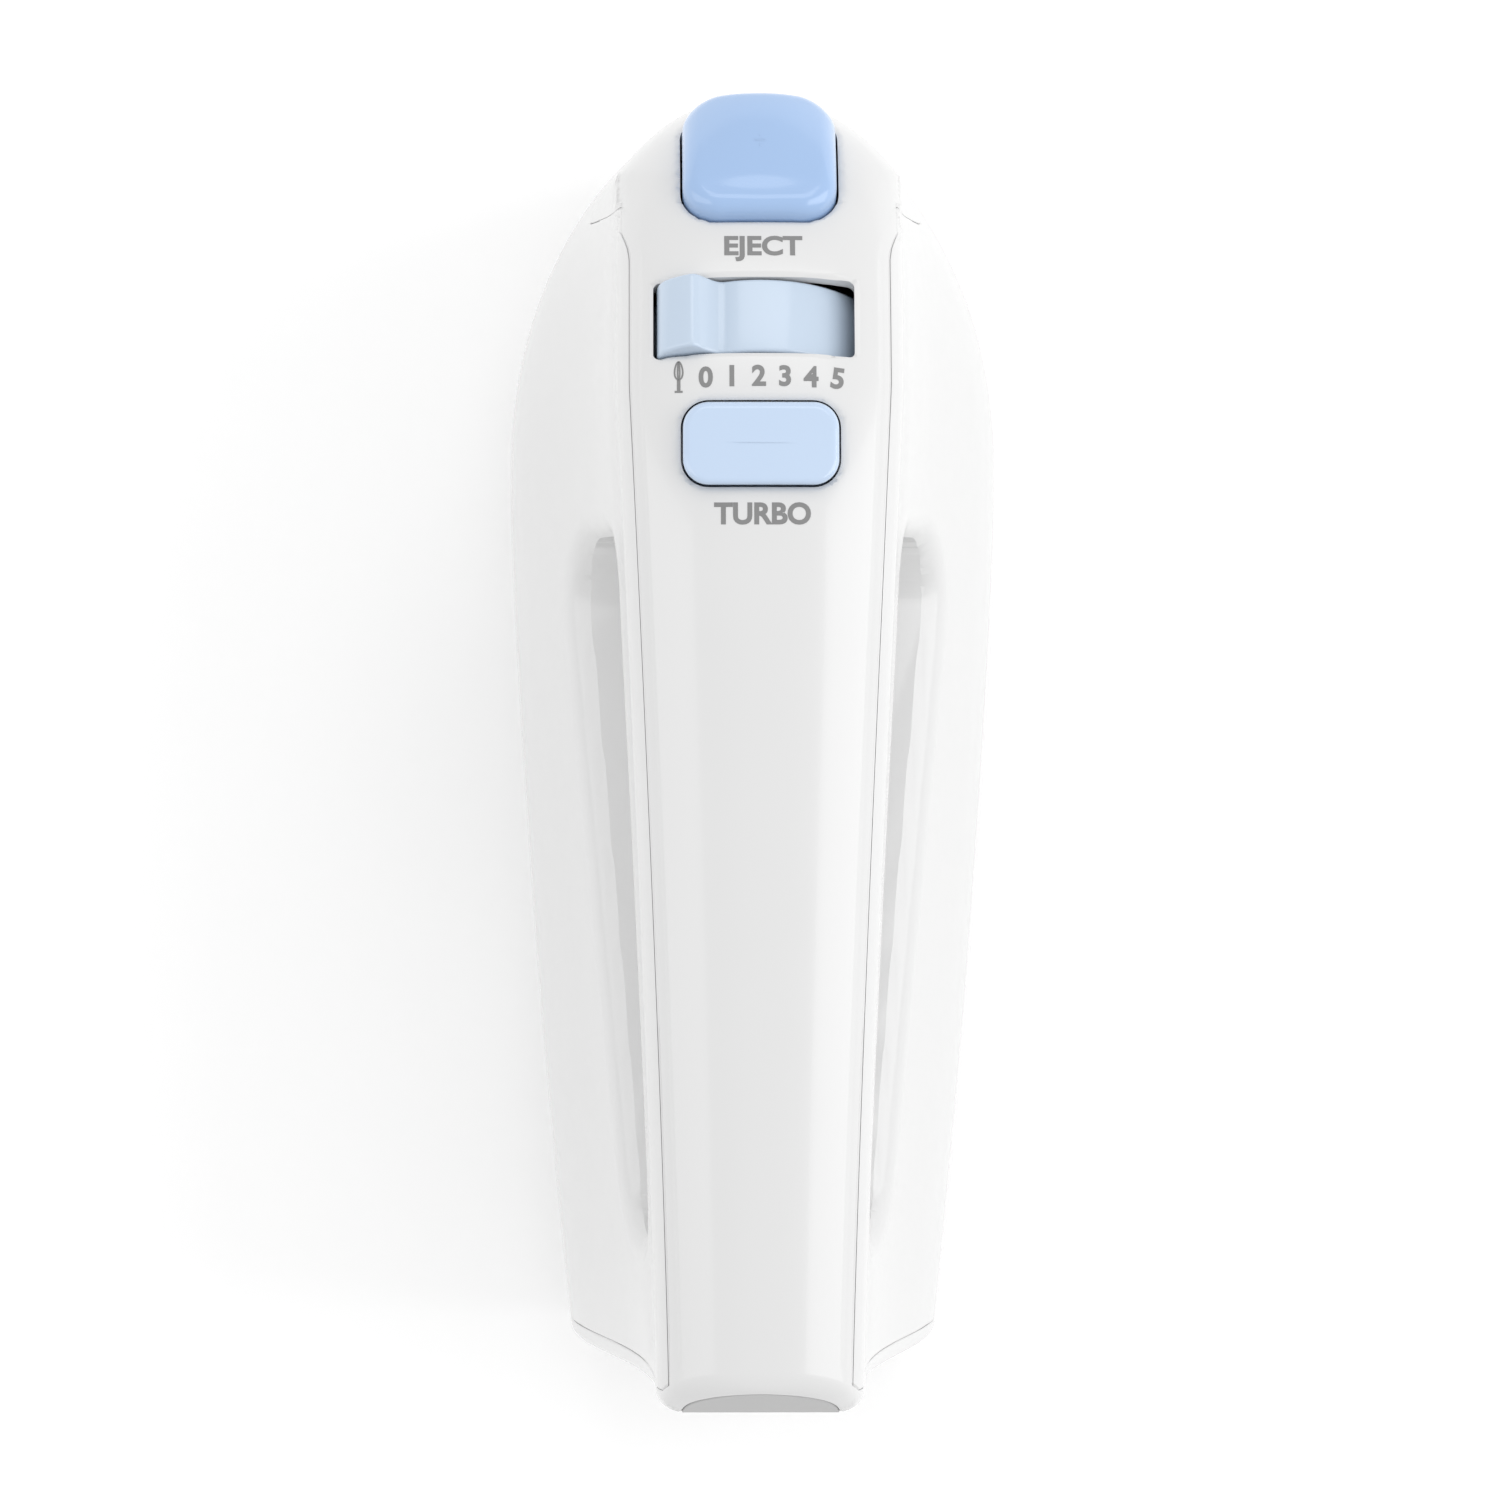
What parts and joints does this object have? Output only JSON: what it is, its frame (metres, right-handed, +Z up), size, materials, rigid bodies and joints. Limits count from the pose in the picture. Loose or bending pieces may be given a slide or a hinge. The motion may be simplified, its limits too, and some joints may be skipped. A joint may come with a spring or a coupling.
{
  "type": "hand mixer",
  "caption": "Hand-held electric food mixer with a top grip, thumb speed selector, turbo and eject keys, and beater sockets underneath.",
  "frame": {"origin": "middle of the outline at the level of the flat base", "axes": "+Z up, +Y to the nose, +X to the right of someone holding the grip"},
  "size_m": [0.08, 0.208, 0.1351],
  "materials": {
    "white_gloss": "glossy moulded",
    "white_satin": "satin moulded",
    "graphite_satin": "satin moulded",
    "grey_satin": "satin moulded",
    "black_rubber": "moulded",
    "blue_gloss": "glossy moulded",
    "pale_blue_gloss": "glossy moulded",
    "natural_nylon": "moulded",
    "black_phenolic": "moulded",
    "carbon": "pressed carbon",
    "green_laminate": "coated laminate",
    "blue_sleeve": "sleeved",
    "aluminium": "extruded",
    "copper_wire": "enamelled wire",
    "copper_bar": "turned",
    "wire_sleeve": "sleeved",
    "bronze": "sintered",
    "lamination": "stacked sheet",
    "steel": "turned"
  },
  "bodies": {
    "housing": {"top_cover": "white_gloss", "left_shell": "white_gloss", "right_shell": "white_gloss", "base_cover": "white_satin", "base_screws": "steel", "heel_plate": "grey_satin", "heel_pads": "black_rubber", "cord_gland": "black_rubber", "eject_spring": "steel", "selector_axle": "steel", "selector_clip": "steel", "speed_switch": "black_phenolic", "control_bracket": "natural_nylon", "control_screws": "steel", "turbo_spring": "steel", "turbo_switch": "black_phenolic", "control_board": "green_laminate", "capacitor": "blue_sleeve", "heat_sink": "aluminium", "chassis": "graphite_satin", "chassis_screws": "steel", "stator_stack": "lamination", "field_coils": "copper_wire", "rear_bearing": "bronze", "front_bearing": "bronze", "end_bush": "bronze", "brush_holders": "bronze", "carbon_brushes": "carbon", "brush_springs": "steel", "gearbox_cover": "natural_nylon", "gearbox_screws": "steel", "spindle_bushes": "bronze", "supply_wires": "wire_sleeve"},
    "rotor": {"motor_shaft": "steel", "rotor_stack": "lamination", "rotor_winding": "copper_wire", "commutator": "copper_bar", "cooling_fan": "natural_nylon", "worm": "steel"},
    "left_socket": {"left_spindle": "steel", "left_wheel": "natural_nylon", "left_beater_clip": "steel"},
    "right_socket": {"right_spindle": "steel", "right_wheel": "natural_nylon", "right_beater_clip": "steel"},
    "eject_key": {"eject_button": "blue_gloss"},
    "ejector": {"ejector": "natural_nylon"},
    "selector": {"speed_selector": "pale_blue_gloss"},
    "turbo_key": {"turbo_button": "pale_blue_gloss"}
  },
  "joints": [
    {"name": "rotor_spin", "type": "hinge", "parent": "housing", "child": "rotor", "pos_m": [0, 0.054, 0.038], "axis": [0, 1, 0], "continuous": true},
    {"name": "left_socket_spin", "type": "hinge", "parent": "housing", "child": "left_socket", "pos_m": [-0.0185, 0.054, 0.02], "axis": [0, 0, 1], "continuous": true},
    {"name": "right_socket_spin", "type": "hinge", "parent": "housing", "child": "right_socket", "pos_m": [0.0185, 0.054, 0.02], "axis": [0, 0, 1], "continuous": true},
    {"name": "eject_press", "type": "slide", "parent": "housing", "child": "eject_key", "axis": [0, -0.5736, -0.8192], "range_m": [0, 0.0064], "stiffness_N_per_m": 500, "springref_m": -0.004},
    {"name": "ejector_lift", "type": "slide", "parent": "housing", "child": "ejector", "axis": [0, 0, -1], "range_m": [0, 0.0056], "deforming": ["eject_spring"]},
    {"name": "speed_turn", "type": "hinge", "parent": "housing", "child": "selector", "pos_m": [0, 0.05966, 0.10702], "axis": [0, 0.9272, -0.3746], "range_deg": [0, 61.5]},
    {"name": "turbo_press", "type": "slide", "parent": "housing", "child": "turbo_key", "axis": [0, 0, -1], "range_m": [0, 0.0022], "stiffness_N_per_m": 500, "springref_m": -0.002, "deforming": ["turbo_spring"]}
  ],
  "couplings": [
    {"joint": "left_socket_spin", "follows": "rotor_spin", "ratio": 0.055556},
    {"joint": "right_socket_spin", "follows": "rotor_spin", "ratio": -0.055556},
    {"joint": "ejector_lift", "follows": "eject_press", "ratio": 0.81915}
  ]
}
